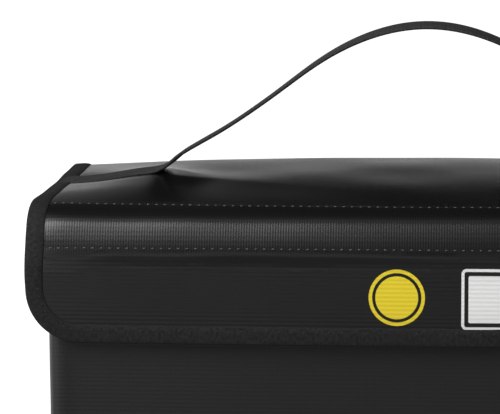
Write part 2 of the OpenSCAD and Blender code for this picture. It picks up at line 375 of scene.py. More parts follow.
print(f"cover: lid {LID_S:.1f}, fold {FOLD_S:.1f}, flap {FLAP_S:.1f} mm, in all {END_S:.1f} mm")

# %% [markdown]
# ## Finishes
# The outer cloth is a woven glass cloth with a thin black coating. Its threads stand up as fine ribs: about
# 0.9 mm apart along the bag and 1.45 mm apart across it. The ribs are bump, and the colour is painted a
# little darker in their valleys, a painted shade. The coating's sheen varies a little from place to place.
# The same function makes the plain cloth and the cover's cloth, whose ribs and sheen differ on lid, fold and
# flap, with an uneven strip under the lower row where the seam draws it flat.

# %% Coated cloth
TURN = 2 * math.pi
RIB_ALONG, RIB_ACROSS = 0.9 * MM, 1.45 * MM


def coated_cloth(name, base=0.0045, shine=0.36, rows=None):
    cloth = Finish(name, Specular_IOR_Level=0.5)
    uv, x, s = cloth.cloth_uv()
    patches = cloth.noise(uv, 28.0, 3.0)
    grain = cloth.noise(uv, 2600.0, 1.0)
    rib_x = (x * (TURN / RIB_ALONG)).sin()
    rib_s = (s * (TURN / RIB_ACROSS)).sin()
    tall_x, tall_s = 0.3, 0.5
    if rows:
        lid = (0.5 + (rows[0] - s) / (4 * MM)).between_0_and_1()
        flap = (s - rows[1]).ramp(1.4 * MM, 1 * MM)
        fold = 1 - lid - flap
        uneven = ((patches - 0.5) * (18 * MM)).at_most(0.6 * MM)
        sewn = (1.8 - abs(s - rows[1] - 3.4 * MM + uneven) / (1.5 * MM)).between_0_and_1()
        tall_x = lid * 0.2 + fold * (0.1 + patches * 0.3) + flap * 0.12
        tall_s = (lid * 0.12 + fold * 0.2 + flap * 0.85) * (1 - sewn * 0.8)
        shine = shine - lid * 0.14 - sewn * 0.16
    weave = rib_x * tall_x + rib_s * tall_s + (grain - 0.5) * 0.3
    # Painted shade: the colour follows the rib and grain height, so it is darker in the rib valleys.
    colour = cloth.greys((weave * 0.3 + 0.5).between_0_and_1(), base, 0.6, 1.4)
    rough = shine - 0.03 + patches * 0.08 - weave * 0.03
    cloth.drive(Base_Color=colour, Roughness=rough, Normal=cloth.bump(weave, 0.035 * MM, 0.9))
    cloth.marks = (x, s, colour, rough)
    return cloth


panel_cloth = coated_cloth("coated_cloth_black", shine=0.46)
cover_cloth = coated_cloth("coated_cloth_cover", shine=0.34, rows=(ROW_1 * MM, ROW_2 * MM))
print("coated cloth:", panel_cloth.material.name, cover_cloth.material.name)

# %% [markdown]
# The flap carries two plain printed marks: a yellow disc with a ring round it, and a white panel with a frame
# that can be written on. Ink lies on the cloth, so it is part of the cover's finish and follows its ribs.
# Each mark is a distance from an outline, turned into a soft-edged mask.

# %% Printed marks
DISC_X, DISC_S, DISC_R = -9.4 * MM, 154.6 * MM, 9.6 * MM
PANEL_X, PANEL_S, PANEL_HALF = 24.6 * MM, 155.0 * MM, (12.0 * MM, 10.4 * MM)
YELLOW_INK, WHITE_INK, INK_DULLS = (0.84, 0.66, 0.025, 1), (0.88, 0.88, 0.87, 1), 0.12


def ink(distance, edge=0.12 * MM):
    return (0.5 - distance / edge).between_0_and_1()


x, s, bare, rough = cover_cloth.marks
disc = ((x - DISC_X) ** 2 + (s - DISC_S) ** 2) ** 0.5
yellow = ink(disc - (DISC_R - 2.3 * MM)) + ink(abs(disc - (DISC_R - 0.6 * MM)) - 0.6 * MM)


def rounded_panel(half_x, half_s, corner):
    from_x = (abs(x - PANEL_X) - (half_x - corner)).at_least(0.0)
    from_s = (abs(s - PANEL_S) - (half_s - corner)).at_least(0.0)
    return (from_x ** 2 + from_s ** 2) ** 0.5 - corner


outline = rounded_panel(*PANEL_HALF, 1.8 * MM)
filling = rounded_panel(*[half - 2.4 * MM for half in PANEL_HALF], 0.6 * MM)
blank = ink(abs(outline + 0.5 * MM) - 0.5 * MM) + ink(filling)
inked = cover_cloth.mix(yellow.between_0_and_1(), bare, YELLOW_INK)
inked = cover_cloth.mix(blank.between_0_and_1(), inked, WHITE_INK)
cover_cloth.drive(Base_Color=inked, Roughness=rough + (yellow + blank).between_0_and_1() * INK_DULLS)
print("two printed marks on the cover")

# %% [markdown]
# The binding is a ribbed woven tape, the handle is heavier webbing ribbed both ways, and the thread is a
# plain twisted polyester. All are dull, so their tone comes mostly from their colour: a random speckle and
# wander, with painted shade that darkens the rib valleys. The fold rows' thread is a lighter copy of the
# dark thread, a painted highlight for the glints on those stitches.

# %% Tape, webbing and thread
def ribbed(name, base, rib, bump, rough, wale=None, tall=0.5):
    weave = Finish(name, Specular_IOR_Level=0.22)
    uv, run, across = weave.cloth_uv()
    fuzz = weave.noise(uv, 1500.0, 2.0)
    wander = weave.noise(uv, 60.0, 2.0)
    ribs = (run * (TURN / rib)).sin()
    if wale:
        ribs = ribs * 0.6 + (across * (TURN / wale)).sin() * 0.6
    speckle = weave.noise(uv, 1000.0, 1.0)
    height = ribs * tall + (fuzz - 0.5) * 1.2
    # Painted shade: the colour follows the rib height and is darker in the valleys, on top of a random
    # speckle.
    speckle_and_rib_shade = (0.5 + height * 0.25 + (wander - 0.5) * 0.5 + (speckle - 0.5) * 2.4).between_0_and_1()
    colour = weave.greys(speckle_and_rib_shade, base, 0.6, 1.45)
    weave.drive(Base_Color=colour, Roughness=rough + (fuzz - 0.5) * 0.15, Normal=weave.bump(height, bump))
    return weave


tape = ribbed("binding_tape", 0.014, 0.8 * MM, 0.06 * MM, 0.85, tall=0.15)
webbing = ribbed("handle_webbing", 0.028, 1.6 * MM, 0.09 * MM, 0.8, wale=2.1 * MM)
# Painted highlight: this is the dark thread painted lighter, for the glints on the fold rows' stitches.
thread = ribbed("sewing_thread", 0.085, 0.5 * MM, 0.02 * MM, 0.5)
dark_thread = ribbed("dark_sewing_thread", 0.02, 0.5 * MM, 0.02 * MM, 0.6)
print("tape, webbing and thread ready")

# %% [markdown]
# Inside, the bag has a silver-grey fire-resistant lining, which shows when the lid is open. The boards
# between lining and cloth are grey fibre. The two closing strips have a looped pile and a field of small
# stiff hooks.

# %% Lining, board, hook and loop
LINING_RIB = 1.1 * MM


def lining_cloth():
    silver = Finish("silver_lining", Metallic=0.55)
    uv, x, s = silver.cloth_uv()
    folds = silver.noise(uv, 45.0, 4.0)
    grid = (x * (TURN / LINING_RIB)).sin() * (s * (TURN / LINING_RIB)).sin()
    # Painted shade and highlight: the silver is darker where the folds' bump is low and lighter where it is
    # high.
    colour = silver.mix(folds, (0.30, 0.31, 0.32, 1), (0.52, 0.53, 0.54, 1))
    height = grid * 0.4 + folds * 2.0
    silver.drive(Base_Color=colour, Roughness=0.38 + folds * 0.2, Normal=silver.bump(height, 0.06 * MM))
    return silver


def fibre_board():
    board = Finish("fibre_board", Specular_IOR_Level=0.3)
    place = board.node("ShaderNodeTexCoord", {}, {}, out=3)
    fibres = board.noise(place, 900.0, 4.0)
    colour = board.mix(fibres, (0.20, 0.19, 0.17, 1), (0.42, 0.40, 0.36, 1))
    board.drive(Base_Color=colour, Roughness=0.8 + fibres * 0.15, Normal=board.bump(fibres, 0.1 * MM))
    return board


def pile(name, base, size, height):
    strip = Finish(name, Specular_IOR_Level=0.3)
    uv = strip.cloth_uv()[0]
    tufts = strip.node("ShaderNodeTexVoronoi", {}, {"Vector": uv, "Scale": 1 / size})
    fuzz = strip.noise(uv, 900.0, 3.0)
    top = (1.0 - tufts) + fuzz * 0.6
    colour = strip.greys(fuzz, base, 0.5, 1.5)
    strip.drive(Base_Color=colour, Roughness=0.75 + fuzz * 0.2, Normal=strip.bump(top, height))
    return strip


silver, board = lining_cloth(), fibre_board()
loops = pile("loop_pile", 0.02, 0.9 * MM, 0.5 * MM)
hooks = pile("hook_field", 0.014, 1.5 * MM, 0.7 * MM)
print("lining, board, loop and hook finishes ready")

# %% [markdown]
# ## The soft cover
# Cloth is never as plain as its pattern. The lid droops towards its ends, the sewn handle pulls it up into a
# tent at each side, the lower stitch row draws it in, the fold puffs out between the rows, and the flap has
# a slight belly. `swell` adds all of these to the plain line, as a distance outwards in millimetres.

# %% How the cover swells
HANG = ((-0.5, 0.0), (-0.01, 0.9), (0.22, 0.0), (0.62, 0.1), (1.0, -0.6))
TENT_X, TENT_H, TAIL_X, STRAP_HALF = 97.0, 2.8, 124.0, 12.5
PILLOW_H, TIP, WAVE, PUFF, ROW_DRAW = 1.1, math.radians(2.6), 1.2, 0.3, 0.16


def lid_sag(u, t):
    end = -(2.4 + 1.2 * math.sin(math.pi * t)) * (1 - t ** 2.5)
    middle = 1.2 * (1 - t) - 1.1 * t
    return middle + (end - middle) * u ** 2.2


def tent(x, s):
    """The sewn end of the handle holds the cloth up, and a ridge runs from it towards the front."""
    reach, y = abs(x), lid_back_y - s
    inward = max(0.0, TENT_X - reach)
    line, flat = crown_y - inward * 0.42, max(0.0, STRAP_HALF - 1 - inward * 0.6)
    pull = 0.72 * math.exp(-((inward / 13.0) ** 2)) + 0.28 * math.exp(-inward / 38.0)
    pull -= ease(TENT_X, TAIL_X + 4, reach)
    ahead = line - flat - y
    if ahead <= 0:
        behind = max(0.0, -ahead - 2 * flat)
        return TENT_H * pull * math.exp(-((behind / (15.0 + inward * 0.12)) ** 2))
    room = max(10.0, line - flat - lid_front_y)
    ridge, slope = math.exp(-((ahead / 9.0) ** 1.3)), max(0.0, 1 - (ahead / room) ** 1.2)
    return TENT_H * pull * (ridge + (slope - ridge) * math.exp(-((inward / 10.0) ** 2)))


def pillow(x, s):
    """The cloth between the handle's sewn end and the fold stands up a little, and tips that end back."""
    y, edge = lid_back_y - s, crown_y - STRAP_HALF
    q = min(max((edge - y) / (edge - lid_front_y), 0.0), 1.0)
    off = max(0.0, abs(y - crown_y) - STRAP_HALF)
    tipped = math.sin(TIP) * (crown_y - y) * math.exp(-((off / 10.0) ** 2))
    sideways = ease(80, 102, abs(x)) * (1 - ease(127, LID_HALF, abs(x)))
    return (PILLOW_H * math.sin(math.pi * q) + tipped) * sideways


def swell(x, s):
    u, t = min(abs(x) / LID_HALF, 1.0), min(max(s / LID_S, 0.0), 1.0)
    fade = 1 - ease(LID_S - 2, LID_S + 9, s)
    out = lid_sag(u, t) * fade + (tent(x, s) + pillow(x, s)) * (1 - ease(ROW_1 - 4, ROW_1 + 2, s))
    out -= ROW_DRAW * math.exp(-((s - ROW_2) / 1.4) ** 2)
    slack = math.sin(x / 21.0 + 0.9) * math.sin(x / 12.0 - 0.5) + 0.5 * math.sin(x / 7.1 + 2.0)
    hang, free = (s - ROW_2) / (END_S - ROW_2), 1 - u ** 6
    if ROW_1 < s < ROW_2:
        out += (PUFF + 0.22 * slack) * math.sin(math.pi * (s - ROW_1) / (ROW_2 - ROW_1)) ** 1.5
    if s > LID_S:
        out += along(HANG, hang) * free
    if s > ROW_2:
        gathers = 0.45 * slack * math.sin(math.pi * min(1.0, 3 * hang)) ** 2
        out += (gathers + WAVE * math.sin(x / 24.0 + 1.1) * hang * (1 - hang)) * free
    waves = math.sin(x / 19.0 + 2.0) * math.sin(s / 11.0 + x / 47.0) * math.sin(math.pi * t)
    ripple = math.sin(x / 15.0 + 0.7) * math.sin(s / 13.0 + 0.4) + 0.6 * math.sin(x / 8.3 - s / 9.1)
    return out + 0.16 * waves * (1 - u ** 4) + 0.07 * ripple


def cover(x, s, depth=0.0):
    """A point of the cover, depth millimetres below its outer face, in metres."""
    u = min(abs(x) / LID_HALF, 1.0)
    drop = max(0.0, s - LID_S - FOLD_S)
    s_line, soft = s + 0.6 * (1 - u * u) * drop / FLAP_S, 0.2 + 4.5 * ease(0.88, 1.0, u)
    lines = [Vector(cover_line(s_line + shift * soft)) for shift in (-1, -0.5, 0, 0.5, 1)]
    y, z, out_y, out_z = sum(lines, Vector((0, 0, 0, 0))) / 5
    out = swell(x, s) - depth
    return Vector((x, y + out_y * out, z + out_z * out)) * MM


print(f"highest point of the lid: {cover(0, LID_S / 2).z / MM:.1f} mm")

# %% [markdown]
# The cut's side edges are not quite straight, and its lower corners are round. `half_width` gives the side
# edge, and the rows of the grid crowd together round the corner so that its outline stays smooth.

# %% The cut of the cover
CORNER_R = 18.2
SIDE = ((0, 137.2), (30, 136.6), (70, 135.2), (94, 135.4),
        (118, 136.4), (132, 136.5), (148, 137.0), (158, 136.6))


def half_width(s):
    return along(SIDE, s)


corner_half = half_width(END_S - CORNER_R)
row_stops = [LID_S * k / 46 for k in range(47)]
row_stops += [LID_S + FOLD_S * k / 24 for k in range(1, 25)]
flap_flat = END_S - CORNER_R - LID_S - FOLD_S
row_stops += [LID_S + FOLD_S + flap_flat * k / 14 for k in range(1, 15)]
row_stops += [END_S - CORNER_R + CORNER_R * math.sin(math.pi / 2 * k / 14) for k in range(1, 15)]
row_stops.reverse()
ROWS, COLUMNS = len(row_stops) - 1, 150


def cut_half(s):
    into = s - (END_S - CORNER_R)
    if into <= 0:
        return half_width(s)
    return corner_half - CORNER_R + math.sqrt(max(0.0, CORNER_R ** 2 - into ** 2))


def cut_place(column, row, inset):
    s = min(max(row_stops[row], inset), END_S - inset)
    return (2 * column / COLUMNS - 1) * (cut_half(row_stops[row]) - inset), s


def cover_sheet(name, depth, thick, finish, slot, inset, faces_in=False):
    """One layer of the cover, depth millimetres below its outer face, that bends from the lid to the flap."""
    def spot(column, row):
        return cut_place(COLUMNS - column if faces_in else column, row, inset)

    piece = mapped_sheet(
        name, COLUMNS, ROWS,
        lambda c, r: cover(*spot(c, r), depth),
        lambda c, r: [value * MM for value in spot(c, r)],
        finish, slot, thick=thick * MM,
    )
    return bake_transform(piece)


SKIN_T, CORE_T, LINING_T, LAMINATE = 0.6, 0.9, 0.35, 2.1
lid_cover = cover_sheet("lid_cover", 0.0, SKIN_T, cover_cloth, "coated_cloth", 0.0)
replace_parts(lid_cover, "lid_cloth", "fold_cloth", "flap_cloth")
lid_core = cover_sheet("lid_stiffener", SKIN_T + 0.1, CORE_T, board, "board", 0.8)
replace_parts(lid_core, "lid_board", "flap_board")
lid_lining = cover_sheet("lid_lining_cloth", LAMINATE, LINING_T, silver, "lining", 0.3, faces_in=True)
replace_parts(lid_lining, "lid_lining", "fold_lining", "flap_lining")
print("cover:", len(lid_cover.data.vertices), "points a layer, in three layers")

# %% [markdown]
# ## Binding tape
# A woven tape is folded over the raw edge of the cover and sewn through. It runs from the back corner down
# one side, round the flap and up the other side. In the cloth's own flat coordinates its section is a simple
# U: out over the face, round the edge and back under the lining. Mapping that U through `cover` bends the
# tape with the cloth.

# %% The tape round the cover
TAPE_W, TAPE_T, TAPE_ROW = 6.2, 0.5, 0.8


def tape_route():
    """Flat places (x, s) along the edge, each with the direction that points into the cloth."""
    side, step = [], 2.0
    count = round((END_S - CORNER_R) / step)
    for k in range(count + 1):
        s = -0.3 + (END_S - CORNER_R + 0.3) * k / count
        side.append((-half_width(s), s, 1.0, 0.0))
    bend = []
    for k in range(1, 17):
        a = math.pi / 2 * k / 16
        x, s = CORNER_R * math.cos(a), CORNER_R * math.sin(a)
        bend.append((CORNER_R - corner_half - x, END_S - CORNER_R + s, math.cos(a), -math.sin(a)))
    straight = corner_half - CORNER_R
    low = [(-straight + 2 * straight * k / 110, END_S, 0.0, -1.0) for k in range(1, 110)]
    half = side + bend
    return half + low + [(-x, s, -ix, js) for x, s, ix, js in reversed(half)]


def tape_section(lam):
    """Distance into the cloth and depth below its face, round the folded tape."""
    reach = TAPE_W - TAPE_T
    points = [(reach + 0.2, 0.05), (reach, -TAPE_T * 0.2), (reach - 0.6, -TAPE_T * 0.6)]
    for k in range(1, 5):
        points.append((reach - 0.6 - (reach - 0.75) * k / 4, -TAPE_T * (0.95 + 0.1 * math.sin(k * 0.8))))
    for k in range(1, 8):
        a = math.pi * k / 8
        points.append((0.15 - (TAPE_T + 0.15) * math.sin(a), lam / 2 - (lam / 2 + TAPE_T) * math.cos(a)))
    points += [(0.15 + (reach - 0.3) * k / 4, lam + TAPE_T) for k in range(5)]
    return points + [(reach, lam - 0.02)]


route, section = tape_route(), tape_section(LAMINATE + LINING_T)
run = [0.0]
for a, b in zip(route, route[1:]):
    run.append(run[-1] + math.hypot(b[0] - a[0], b[1] - a[1]))


def tape_place(c, r):
    x, s, in_x, in_s = route[c]
    into, depth = section[r]
    wander = 0.14 * math.sin(run[c] / 9.0) + 0.1 * math.sin(run[c] / 3.7 + 1.0)
    into += wander * into / TAPE_W
    return cover(x + in_x * into, s + in_s * into, depth)


edge_tape = mapped_sheet(
    "edge_binding", len(route) - 1, len(section) - 1, tape_place,
    lambda c, r: (run[c] * MM, r * TAPE_ROW * MM), tape, "tape", thick=0.15 * MM,
)
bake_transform(edge_tape)
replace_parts(edge_tape, "lid_binding_left", "lid_binding_right", "fold_binding_left",
            "fold_binding_right", "flap_binding")
print(f"binding: {run[-1]:.0f} mm of tape")

# %% [markdown]
# ## The pouch
# The pouch is a soft box. Its front and back panels wrap round the upright edges and meet the side panels in
# a seam. A panel is described in its own flat coordinates again: t along the wall and z up it. `wrap_line`
# and `side_line` walk along the plan, and `wall` adds the soft parts: a rounded lower edge, a little belly
# and a dip along each seam.

# %% The pouch's walls
BODY_HALF, DEPTH_HALF, EDGE_R = 130.0, 65.0, 5.0
SIDE_RUN, FRONT_RUN = DEPTH_HALF - EDGE_R, BODY_HALF - EDGE_R
FRONT_H, SIDE_H, BACK_H, FOOT_R = 137.2, 143.2, back_z, 3.0
SEAM_DIP, SEAM_ROLL = 0.5, 4.0
WRAP = EDGE_R * math.pi / 2


def wrap_line(t):
    """Plan of the front panel: t runs from the left seam, along the front and to the right seam."""
    side = -1 if t < WRAP + FRONT_RUN else 1
    rest = FRONT_RUN + WRAP - abs(t - WRAP - FRONT_RUN)
    if rest >= WRAP:
        return t - WRAP - FRONT_RUN, -DEPTH_HALF, 0.0, -1.0
    a = rest / EDGE_R
    out_x, out_y = side * math.cos(a), -math.sin(a)
    return side * FRONT_RUN + EDGE_R * out_x, -SIDE_RUN + EDGE_R * out_y, out_x, out_y


def side_line(t):
    """Plan of the right side panel: t runs from the front seam to the back seam."""
    return BODY_HALF, t - SIDE_RUN, 1.0, 0.0


def wall(line, length, t, z, height, depth, belly, flip=1):
    """A point of a wall, depth below its face; flip -1 puts the front's plan at the back."""
    x, y, out_x, out_y = line(t)
    across, rise = math.sin(math.pi * min(max(t / length, 0), 1)), min(z / (height * 0.76), 1.0)
    out = belly * across ** 0.7 * math.sin(math.pi * rise) ** 1.2
    for seam in (0.0, length):
        out -= SEAM_DIP * math.exp(-((t - seam) / 1.1) ** 2)
        if line is wrap_line:
            out += math.exp(-((abs(t - seam) - SEAM_ROLL) / SEAM_ROLL) ** 2)
    if z < FOOT_R:
        out -= FOOT_R - math.sqrt(max(0.0, FOOT_R ** 2 - (FOOT_R - z) ** 2))
    out += 0.3 * math.sin(t / 23.0 + z / 31.0) * math.sin(z / 21.0 + 0.9) * min(1.0, z / 20)
    out -= depth
    return Vector((x + out_x * out, flip * (y + out_y * out), z)) * MM


FOOT_LEVELS = (0.0, 0.15, 0.5, 1.0, 1.6, 2.3, 3.0)
WALL_LEVELS = 44


def wall_sheet(name, line, length, height, belly, layer, flip=1, columns=120):
    """One layer of a wall, from its lower edge up; the lining starts above the base."""
    depth, thick, finish, slot, low = layer
    levels = [low] + [z for z in FOOT_LEVELS if z > low]
    levels += [FOOT_R + (height - FOOT_R) * k / WALL_LEVELS for k in range(1, WALL_LEVELS + 1)]
    turned = (flip < 0) != (depth > 1)

    def spot(c):
        return (columns - c if turned else c) * length / columns

    return mapped_sheet(
        name, columns, len(levels) - 1,
        lambda c, r: wall(line, length, spot(c), levels[r], height, depth, belly, flip),
        lambda c, r: (spot(c) * MM, levels[r] * MM),
        finish, slot, "pouch", thick=thick * MM,
    )


LINING_DEPTH, WALL_LINING_T = 2.5, 0.3
WRAP_LENGTH, SIDE_LENGTH = 2 * (WRAP + FRONT_RUN), 2 * SIDE_RUN
FRONT_BELLY, BACK_BELLY, SIDE_BELLY = 1.0, 1.4, 1.6
OUTER = (0.0, SKIN_T, panel_cloth, "coated_cloth", 0.0)
INNER = (LINING_DEPTH, WALL_LINING_T, silver, "lining", 2.6)
front_panel = wall_sheet("front_cloth", wrap_line, WRAP_LENGTH, FRONT_H, FRONT_BELLY, OUTER)
back_panel = wall_sheet("back_cloth", wrap_line, WRAP_LENGTH, BACK_H, BACK_BELLY, OUTER, -1)
front_lining = wall_sheet("front_lining_cloth", wrap_line, WRAP_LENGTH, FRONT_H, 0.0, INNER)
back_lining = wall_sheet("back_lining_cloth", wrap_line, WRAP_LENGTH, BACK_H, 0.0, INNER, -1)
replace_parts(front_panel, "front_panel")
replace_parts(back_panel, "back_panel")
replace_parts(front_lining, "front_lining")
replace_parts(back_lining, "back_lining")
print("front and back walls ready")

# %% Side walls
def mirrored(piece, name, finish, slot, thick):
    """The same piece on the other side of the pouch, with its place in its mesh."""
    bm = bmesh.new()
    bm.from_mesh(piece.data)
    bmesh.ops.scale(bm, vec=(-1, 1, 1), verts=bm.verts)
    bmesh.ops.reverse_faces(bm, faces=bm.faces)
    return finished(name, bm, finish, slot, "pouch", thick * MM)


right_side = wall_sheet("right_side_cloth", side_line, SIDE_LENGTH, SIDE_H, SIDE_BELLY, OUTER, columns=60)
right_inside = wall_sheet("right_side_lining_cloth", side_line, SIDE_LENGTH, SIDE_H, 0.0, INNER, columns=60)
left_side = mirrored(right_side, "left_side_cloth", panel_cloth, "coated_cloth", SKIN_T)
left_inside = mirrored(right_inside, "left_side_lining_cloth", silver, "lining", WALL_LINING_T)
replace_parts(right_side, "right_side_panel")
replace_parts(left_side, "left_side_panel")
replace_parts(right_inside, "right_side_lining")
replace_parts(left_inside, "left_side_lining")
print("side walls ready")

# %% [markdown]
# ## Base
# The base is a flat cut with round corners, sewn to the walls just inside their rounded lower edge. It lifts
# a little in the middle, so the bag stands on its rim. It starts as a plain grid, which keeps its cells even,
# and only the points in the four corners are pulled in onto the round corner.

# %% Base cloth and lining
def base_sheet(name, z, inset, dome, finish, slot, thick, face_up):
    bm = bmesh.new()
    bmesh.ops.create_grid(bm, x_segments=64, y_segments=32, size=0.5)
    half_x, half_y, corner = BODY_HALF - inset, DEPTH_HALF - inset, max(EDGE_R - inset, 1.0)
    for v in bm.verts:
        u, w = v.co.x * 2, v.co.y * 2
        x, y = u * half_x, w * half_y
        over_x, over_y = abs(x) - (half_x - corner), abs(y) - (half_y - corner)
        if over_x > 0 and over_y > 0:
            scale = corner / max(math.hypot(over_x, over_y), corner)
            x = math.copysign(half_x - corner + over_x * scale, x)
            y = math.copysign(half_y - corner + over_y * scale, y)
        lift = dome * (1 - u ** 4) * (1 - w ** 4)
        v.co = Vector((x, y, z + lift)) * MM
    lay_flat(bm, lambda v: v.co.xy)
    if not face_up:
        bmesh.ops.reverse_faces(bm, faces=bm.faces)
    return finished(name, bm, finish, slot, "pouch", thick * MM)


base_cloth = base_sheet("base_cloth", 0.02, FOOT_R - 0.2, 0.45, panel_cloth, "coated_cloth", 0.5, False)
base_inside = base_sheet("base_lining_cloth", LINING_DEPTH, LINING_DEPTH - 0.1, 0.3, silver, "lining",
                         WALL_LINING_T, True)
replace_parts(base_cloth, "base_panel")
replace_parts(base_inside, "base_lining")
print("base ready")

# %% [markdown]
# ## Mouth binding and the lid's hinge
# The raw edges of the mouth are bound with the same tape as the cover. At the back there is no raw edge: the
# back panel's cloth runs on over the edge and becomes the lid, and that strip of cloth is the lid's hinge.

# %% Tape on the mouth
MOUTH_TAPE_T = 0.3


def mouth_tape(name, line, length, height, columns):
    mouth_section = tape_section(LINING_DEPTH + WALL_LINING_T)

    def place(c, r):
        into, depth = mouth_section[r]
        return wall(line, length, c * length / columns, height - into, height, depth, 0.0)

    return mapped_sheet(
        name, columns, len(mouth_section) - 1, place,
        lambda c, r: (c * length / columns * MM, r * TAPE_ROW * MM),
        tape, "tape", "pouch", thick=MOUTH_TAPE_T * MM,
    )


front_tape = mouth_tape("mouth_binding_front_tape", wrap_line, WRAP_LENGTH, FRONT_H, 160)
right_tape = mouth_tape("mouth_binding_right_tape", side_line, SIDE_LENGTH, SIDE_H, 70)
left_tape = mirrored(right_tape, "mouth_binding_left_tape", tape, "tape", MOUTH_TAPE_T)
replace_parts(front_tape, "mouth_binding_front")
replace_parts(right_tape, "mouth_binding_right")
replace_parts(left_tape, "mouth_binding_left")
print("mouth bound with tape")

# %% The strip of cloth at the back
HINGE_ROWS, HINGE_COLUMNS, HINGE_DEPTH = 30, 120, 0.75
HINGE_DOWN, HINGE_UNDER = 10.0, 7.0
ROLL_FROM, ROLL_TO = 0.3, 0.7
HINGE_CELL = (2.1 * MM, 1.0 * MM)


def hinge_place(c, r):
    """From below the back wall's top, behind its cloth, over the back fold and in under the lid's cloth."""
    x, k = (2 * c / HINGE_COLUMNS - 1) * FRONT_RUN, r / HINGE_ROWS
    if k > ROLL_TO:
        return cover(x, (k - ROLL_TO) / (1 - ROLL_TO) * HINGE_UNDER, HINGE_DEPTH)
    t, z = x + WRAP + FRONT_RUN, back_z - max(0.0, ROLL_FROM - k) / ROLL_FROM * HINGE_DOWN
    low = wall(wrap_line, WRAP_LENGTH, t, z, BACK_H, HINGE_DEPTH, BACK_BELLY, -1)
    if k <= ROLL_FROM:
        return low
    a = math.pi / 2 - (math.pi / 2 - CROWN) * (k - ROLL_FROM) / (ROLL_TO - ROLL_FROM)
    r_out, turned = BACK_FOLD_R - HINGE_DEPTH, ease(ROLL_FROM, ROLL_TO, k)
    bent = Vector((x, back_y + r_out * math.sin(a), back_z + r_out * math.cos(a))) * MM
    bent.y += (low.y - (back_y + r_out) * MM) * (1 - turned)
    bent.z += lid_sag(min(abs(x) / LID_HALF, 1.0), 0.0) * turned * MM
    return bent


back_hinge = mapped_sheet(
    "back_hinge_cloth", HINGE_COLUMNS, HINGE_ROWS,
    lambda c, r: hinge_place(HINGE_COLUMNS - c, r),
    lambda c, r: ((HINGE_COLUMNS - c) * HINGE_CELL[0], r * HINGE_CELL[1]),
    panel_cloth, "coated_cloth", thick=0.4 * MM,
)
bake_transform(back_hinge)
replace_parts(back_hinge, "back_fold")
print("hinge cloth ready")

# %% [markdown]
# ## Hook and loop strips
# The flap closes on two strips: a soft looped one on the front panel and a stiffer hooked one inside the
# flap. Each is a thin slab with rounded edges, so it starts as a cube that is scaled, bevelled and given its
# flat place as UV.

# %% Closing strips
GRIP_LOW, GRIP_HIGH, GRIP_HALF = 109.6, 129.4, 110.0


def strip(name, y_low, y_high, finish, body, node):
    bm = bmesh.new()
    bmesh.ops.create_cube(bm, size=1.0)
    size = Vector((2 * GRIP_HALF, y_high - y_low, GRIP_HIGH - GRIP_LOW)) * MM
    middle = Vector((0, (y_low + y_high) / 2, (GRIP_LOW + GRIP_HIGH) / 2)) * MM
    bmesh.ops.scale(bm, vec=size, verts=bm.verts)
    bmesh.ops.translate(bm, vec=middle, verts=bm.verts)
    upright = [e for e in bm.edges if abs(e.verts[0].co.y - e.verts[1].co.y) > 0.5 * size.y]
    bmesh.ops.bevel(bm, geom=upright, offset=2.5 * MM, segments=5, profile=0.5, affect="EDGES", material=-1)
    rim = [e for e in bm.edges if abs(e.verts[0].co.y - e.verts[1].co.y) < 1e-7]
    bmesh.ops.bevel(bm, geom=rim, offset=0.3 * MM, segments=2, profile=0.5, affect="EDGES", material=-1)
    lay_flat(bm, lambda v: (v.co.x, v.co.z))
    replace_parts(finished(name, bm, finish, "hook_and_loop", body), node)


strip("loop_pile_strip", -66.25, -65.0, loops, "pouch", "loop_strip")
strip("hook_field_strip", -67.7, -66.55, hooks, "flap", "hook_strip")
print("closing strips ready")

# %% [markdown]
# ## Handle
# The handle is one length of flat webbing. Its ends are caught under the binding and sewn flat, and between
# them it stands up in a bell-shaped arch. Each half runs from the binding to the middle of the arch.

# %% Webbing handle
STRAP_W, STRAP_T, STRAP_SPAN, STRAP_RISE, BELL = 25.0, 1.35, 108.0, 54.4, 1.9
STRAP_END, HALF_STEPS, RING = 133.5, 90, 20


def bell(x):
    bow = 1.6 * math.exp(-((abs(x) - 87.0) / 12.0) ** 2) - 1.1 * math.exp(-((abs(x) - 55.0) / 15.0) ** 2)
    return lid_top + STRAP_T / 2 + bow + STRAP_RISE * max(0.0, 1 - (x / STRAP_SPAN) ** 2) ** BELL


def webbing_line(x):
    """Height of the webbing's middle above the ground at distance x from the lid's middle."""
    lying = cover(x, lid_back_y - crown_y, 0).z / MM + STRAP_T / 2 - 0.4
    if x >= TENT_X + 6:
        return lying
    free = bell(x)
    return lying + (max(free, lying) - lying) * ease(TENT_X + 6, TENT_X - 8, x)


def ring_point(k):
    """Section of the webbing: flat faces and rounded edges, walked once round."""
    a = TURN * k / RING
    c, s = math.cos(a), math.sin(a)
    across = math.copysign(abs(c) ** 0.16, c) * STRAP_W / 2
    return across, math.copysign(abs(s) ** 0.4, s) * STRAP_T / 2


